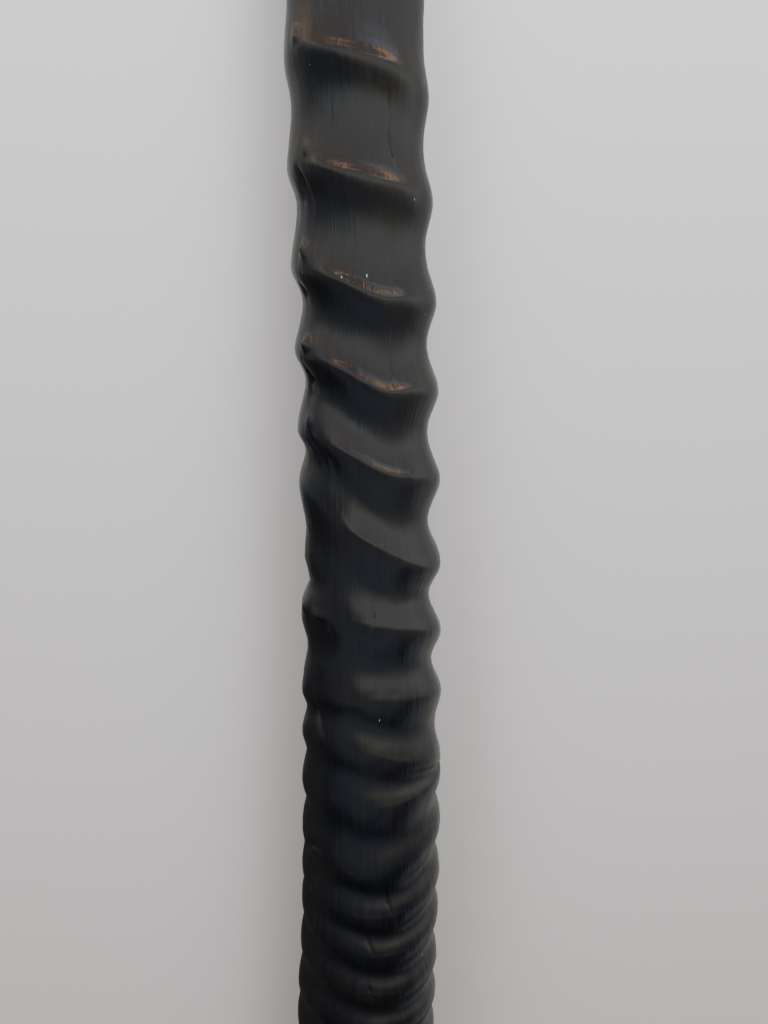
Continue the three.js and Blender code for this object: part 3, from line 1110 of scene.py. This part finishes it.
    def rim(self) -> Socket:
        """Makes the sawn face between the hollow's mouth and the outside.

        Returns:
            Its geometry.
        """
        size = self.inputs
        angle, up = self.turn()
        wall = self.add(SUBTRACT, size["Base radius"], size["Cavity radius"])
        radius = self.add(MULTIPLY_ADD, up, wall, size["Cavity radius"])
        sheet = self.add(*self.flat_grid, self.horn.rim_rows + 1)
        sheet = self.add(STORE, sheet, "angle", angle)
        sheet = self.add(STORE, sheet, "radius", radius)
        return self.roll_up(sheet, self.add(READ, "angle"), 0.0, self.add(READ, "radius"))

    def grow(self) -> None:
        """Joins the outside, the sawn rim and the lining, and finishes the tree."""
        parts = (self.outside(), self.rim(), self.lining())
        finishes = (self.horn.outside_finish, self.horn.sawn_finish, self.horn.hollow_finish)
        joined = self.tree.nodes.new("GeometryNodeJoinGeometry")
        for zone, geometry in reversed(list(enumerate(parts))):
            zoned = self.add(STORE, geometry, "zone", float(zone), domain="FACE")
            self.tree.links.new(zoned, joined.inputs[0])
        welded = self.add("GeometryNodeMergeByDistance", joined.outputs[0],
                          named={"Distance": self.horn.weld})
        outward = self.add("GeometryNodeFlipFaces", welded)
        smooth = self.add("GeometryNodeSetShadeSmooth", outward)
        fold = self.add("GeometryNodeInputMeshEdgeAngle")
        sharp = self.add(GREATER_THAN, fold, math.radians(self.horn.sharp_angle))
        zone = self.add(READ, "zone")
        by_rim = self.add(GREATER_THAN, zone, 0.1)
        sharp = self.add(MULTIPLY, sharp, by_rim)
        smooth = self.add("GeometryNodeSetShadeSmooth", smooth, sharp, False, domain="EDGE")
        matrix = self.horn.resting()
        place = matrix.to_translation()
        turned = self.add("GeometryNodeTransform", smooth,
                          named={"Translation": place, "Rotation": matrix.to_euler(),
                                 "Scale": (MM, MM, MM)})
        dressed = self.add("GeometryNodeRealizeInstances", turned)
        for number, finish in enumerate(finishes):
            chosen = self.add("FunctionNodeCompare", zone, float(number), operation="EQUAL",
                              data_type="FLOAT", named={"Epsilon": 0.1})
            dressed = self.add("GeometryNodeSetMaterial", dressed, chosen, finish.make())
        output = self.tree.nodes.new("NodeGroupOutput")
        self.tree.links.new(dressed, output.inputs[0])


# ---------------------------------------------------------------- The studio

@dataclass(frozen=True)
class Lamp:
    """A soft area light, placed round the ringed stretch of the horn.

    Args:
        name: Its name.
        place: Where it stands, in metres from the middle of the view.
        size: Its width and length in metres.
        power: Its power in watts.
        colour: Its colour.
    """

    name: str
    place: tuple[float, float, float]
    size: tuple[float, float]
    power: float
    colour: str


@dataclass(frozen=True)
class Glow:
    """A bright patch in the room, far enough off to have only a direction.

    Args:
        name: What gives it. It is not used.
        side: How far to the right its direction points, from -1 to 1.
        along: How far towards the tip.
        half_size: Its half widths along those two axes.
        strength: Its brightness.
        colour: Its colour.
    """

    name: str
    side: float
    along: float
    half_size: tuple[float, float]
    strength: float
    colour: str


@dataclass
class Studio:
    """The floor, the lights, the dim room that shows in the gloss, and the camera."""

    horn: Horn
    floor_colour: str = "#a89f94"
    floor_size: float = 8.0
    backdrop: str = "#c8c4be"
    # The room's brightness and colour, by how far towards the tip a direction points.
    room: tuple[tuple[float, float, str], ...] = (
        (-1.0, 0.15, "#9ca8bc"),
        (-0.85, 0.5, "#9ca8bc"),
        (-0.6, 0.62, "#a4acb8"),
        (-0.3, 0.53, "#c8c2b0"),
        (-0.08, 0.65, "#dcd4bc"),
        (0.04, 0.93, "#e8dfc6"),
        (0.14, 1.22, "#eee8d2"),
        (0.3, 1.24, "#ecf0e6"),
        (0.55, 0.9, "#f0e4d0"),
        (0.85, 0.72, "#f0cca0"),
        (1.0, 0.72, "#e8c294"),
    )
    room_on_the_left: tuple[tuple[float, float, str], ...] = (
        (-1.0, 0.2, "#9ca8bc"),
        (-0.85, 0.65, "#9ca8bc"),
        (-0.62, 0.85, "#9ca8bc"),
        (-0.4, 0.4, "#b0b4bc"),
        (-0.05, 0.28, "#b0b4bc"),
        (0.2, 0.32, "#b4b8c0"),
        (0.4, 0.55, "#ccc4b8"),
        (0.55, 0.8, "#d8c8ac"),
        (1.0, 0.8, "#d8c8ac"),
    )
    # Where the left gives way to the rest: the way to the right, plus this slope times the way
    # towards the tip. The lit ground takes over from the dark ground in the same manner.
    seam_slope: float = 1.6
    seam: tuple[float, float] = (-0.45, 0.05)
    dark_ground: tuple[float, str] = (0.06, "#e8e8e8")
    lit_ground: tuple[float, str] = (0.6, "#ecebe6")
    lit_slope: float = 2.0
    lit: tuple[float, float] = (-1.3, -0.5)
    # How far up the ground begins and is full over the dark part, and how much lower over the lit.
    horizon: tuple[float, float] = (0.45, 0.05)
    horizon_drop: float = 0.45
    glow_edge: tuple[float, float] = (1.3, 0.7)
    glows: tuple[Glow, ...] = (
        Glow("window", 0.45, 0.7, (0.26, 0.025), 3.6, "#cfe2ff"),
        Glow("middle bulb", -0.18, 0.85, (0.035, 0.02), 24.0, "#ffc890"),
        Glow("right bulb", 0.56, 0.79, (0.05, 0.018), 14.0, "#ffc890"),
        Glow("left bulb", -0.8, 0.56, (0.016, 0.014), 12.0, "#ffc890"),
        Glow("right wall", 1.13, 0.1, (0.14, 0.9), 1.5, "#dce6ee"),
    )
    # A black card over the base, in the horn's own frame, which fades out at its tipward edge.
    card_left: float = -1500.0
    card_right: float = 500.0
    card_from: float = -1200.0
    card_to: float = 110.0
    card_fade: float = 140.0
    card_height: float = 200.0
    camera_station: float = 330.0
    camera_side: float = 5.05
    camera_height: float = 278.0
    camera_pitch: float = 10.0
    focal_pixels: float = 769.0
    lamps: tuple[Lamp, ...] = (
        Lamp("left_softbox", (-0.5, 0.8, 0.6), (0.5, 0.5), 24.0, "#dde8ff"),
        Lamp("right_softbox", (0.5, 0.8, 0.6), (0.5, 0.5), 24.0, "#dde8ff"),
        Lamp("far_softbox", (0.12, 0.78, 0.32), (0.3, 0.2), 16.0, "#dde8ff"),
    )

    def aim(self) -> Vector:
        """The middle of the view, in the floor's frame, in metres."""
        return self.horn.resting() @ (Vector((0.0, 281.0, 0.0)) * MM)

    def floor(self) -> None:
        """Makes the plain pale floor."""
        half = self.floor_size / 2
        mesh = bpy.data.meshes.new("floor")
        corners = [(-half, -half, 0), (half, -half, 0), (half, half, 0), (-half, half, 0)]
        mesh.from_pydata(corners, [], [(0, 1, 2, 3)])
        paint = {"Base Color": linear(self.floor_colour), "Roughness": 0.9,
                 "Specular IOR Level": 0.1}
        material = start_material("matt studio paint", paint)[0]
        mesh.materials.append(material)
        floor = bpy.data.objects.new("floor", mesh)
        floor.visible_glossy = False
        bpy.context.collection.objects.link(floor)

    def card(self) -> None:
        """Hangs a black card over the base, which keeps the room out of the gloss there."""
        mesh = bpy.data.meshes.new("black_card")
        near = [(side, self.card_from) for side in (self.card_left, self.card_right)]
        far = [(side, self.card_to) for side in (self.card_right, self.card_left)]
        corners = [Vector((*place, self.card_height)) * MM for place in near + far]
        mesh.from_pydata([self.horn.resting() @ corner for corner in corners], [], [(0, 1, 2, 3)])
        velvet = {"Base Color": linear("#0a0a0a"), "Roughness": 1.0, "Specular IOR Level": 0.0}
        material, tree, shader = start_material("black velvet", velvet)
        place = add_node(tree, "ShaderNodeTexCoord", out="Object")
        along = add_node(tree, "ShaderNodeSeparateXYZ", place, out="Y")
        edge = mesh.vertices[2].co.y
        there = add_node(tree, MAP_RANGE, along, edge, edge - self.card_fade * MM, 0.0, 1.0)
        tree.links.new(there, shader["Alpha"])
        mesh.materials.append(material)
        card = bpy.data.objects.new("black_card", mesh)
        card.visible_diffuse = False
        card.visible_shadow = False
        card.visible_camera = False
        bpy.context.collection.objects.link(card)

    def light(self) -> None:
        """Hangs the lamps and sets the dim room round them."""
        for lamp in self.lamps:
            data = bpy.data.lights.new(lamp.name, "AREA")
            data.shape = "RECTANGLE"
            data.size, data.size_y = lamp.size
            data.energy = lamp.power
            data.color = linear(lamp.colour)[:3]
            light = bpy.data.objects.new(lamp.name, data)
            light.location = self.aim() + Vector(lamp.place)
            light.rotation_euler = (-Vector(lamp.place)).to_track_quat("-Z", "Y").to_euler()
            light.visible_glossy = False
            light.visible_camera = False
            bpy.context.collection.objects.link(light)
        bpy.context.scene.world = self.world()

    def world(self) -> bpy.types.World:
        """Paints the room: dark towards the base and the left, lighter towards the tip.

        The room shows in the gloss only. Past the floor's edge the camera sees a plain backdrop.

        Returns:
            The world.
        """
        world = bpy.data.worlds.new("dim room")
        world.use_nodes = True
        tree = world.node_tree
        way = add_node(tree, "ShaderNodeTexCoord", out="Generated")
        x = add_node(tree, "ShaderNodeSeparateXYZ", way)
        y = x.node.outputs["Y"]
        along = add_node(tree, MULTIPLY_ADD, y, 0.5, 0.5)
        sides = []
        for stops in (self.room_on_the_left, self.room):
            shade = add_node(tree, "ShaderNodeValToRGB", along)
            ramp = shade.node.color_ramp
            for at, strength, tint in stops:
                at_an_end = {-1.0: ramp.elements[0], 1.0: ramp.elements[-1]}.get(at)
                stop = at_an_end or ramp.elements.new(at / 2 + 0.5)
                stop.color = [strength * c for c in linear(tint)[:3]] + [1.0]
            sides.append(shade)
        side = add_node(tree, MULTIPLY_ADD, y, self.seam_slope, x)
        side = add_node(tree, MAP_RANGE, side, *self.seam, 0.0, 1.0)
        colour = add_node(tree, MIX_COLOUR, side, sides[0], sides[1])
        dark, lit = ([strength * c for c in linear(tint)]
                     for strength, tint in (self.dark_ground, self.lit_ground))
        tipward = add_node(tree, MULTIPLY_ADD, y, self.lit_slope, x)
        tipward = add_node(tree, MAP_RANGE, tipward, *self.lit, 0.0, 1.0)
        ground = add_node(tree, MIX_COLOUR, tipward, dark, lit)
        level = add_node(tree, MULTIPLY_ADD, tipward, self.horizon_drop, x.node.outputs["Z"])
        sunk = add_node(tree, MAP_RANGE, level, *self.horizon, 0.0, 1.0)
        colour = add_node(tree, MIX_COLOUR, sunk, colour, ground)
        for glow in self.glows:
            wide, tall = glow.half_size
            offset = add_node(tree, VECTOR_SUBTRACT, way, (glow.side, glow.along, 0.0))
            offset = add_node(tree, VECTOR_MULTIPLY, offset, (1 / wide, 1 / tall, 0.0))
            away = add_node(tree, VECTOR_LENGTH, offset)
            inside = add_node(tree, MAP_RANGE, away, *self.glow_edge, 0.0, 1.0)
            colour = add_node(tree, MIX_COLOUR, inside, colour,
                              [glow.strength * c for c in linear(glow.colour)])
        seen = add_node(tree, "ShaderNodeLightPath", out="Is Camera Ray")
        colour = add_node(tree, MIX_COLOUR, seen, colour, linear(self.backdrop))
        background = tree.nodes["Background"]
        tree.links.new(colour, background.inputs["Color"])
        return world

    def camera(self) -> None:
        """Sets the camera over the ringed stretch, tipped towards the base."""
        data = bpy.data.cameras.new("camera")
        data.lens = data.sensor_width * self.focal_pixels / IMAGE_HEIGHT
        data.clip_start = 0.01
        camera = bpy.data.objects.new("camera", data)
        place = Matrix.Translation(
            Vector((self.camera_side, self.camera_station, self.camera_height)) * MM)
        tip = Matrix.Rotation(math.radians(-self.camera_pitch), 4, "X")
        camera.matrix_world = self.horn.resting() @ place @ tip
        bpy.context.collection.objects.link(camera)
        bpy.context.scene.camera = camera


def main() -> None:
    """Builds the horn and its studio, and logs the horn's face count."""
    logging.basicConfig(level=logging.INFO, format="%(message)s")
    horn = Horn()
    studio = Studio(horn)
    studio.camera()
    studio.floor()
    studio.card()
    studio.light()
    piece = horn.build()
    log.info("%s: %d faces", piece.name, len(piece.data.polygons))


if __name__ == "__main__":
    main()
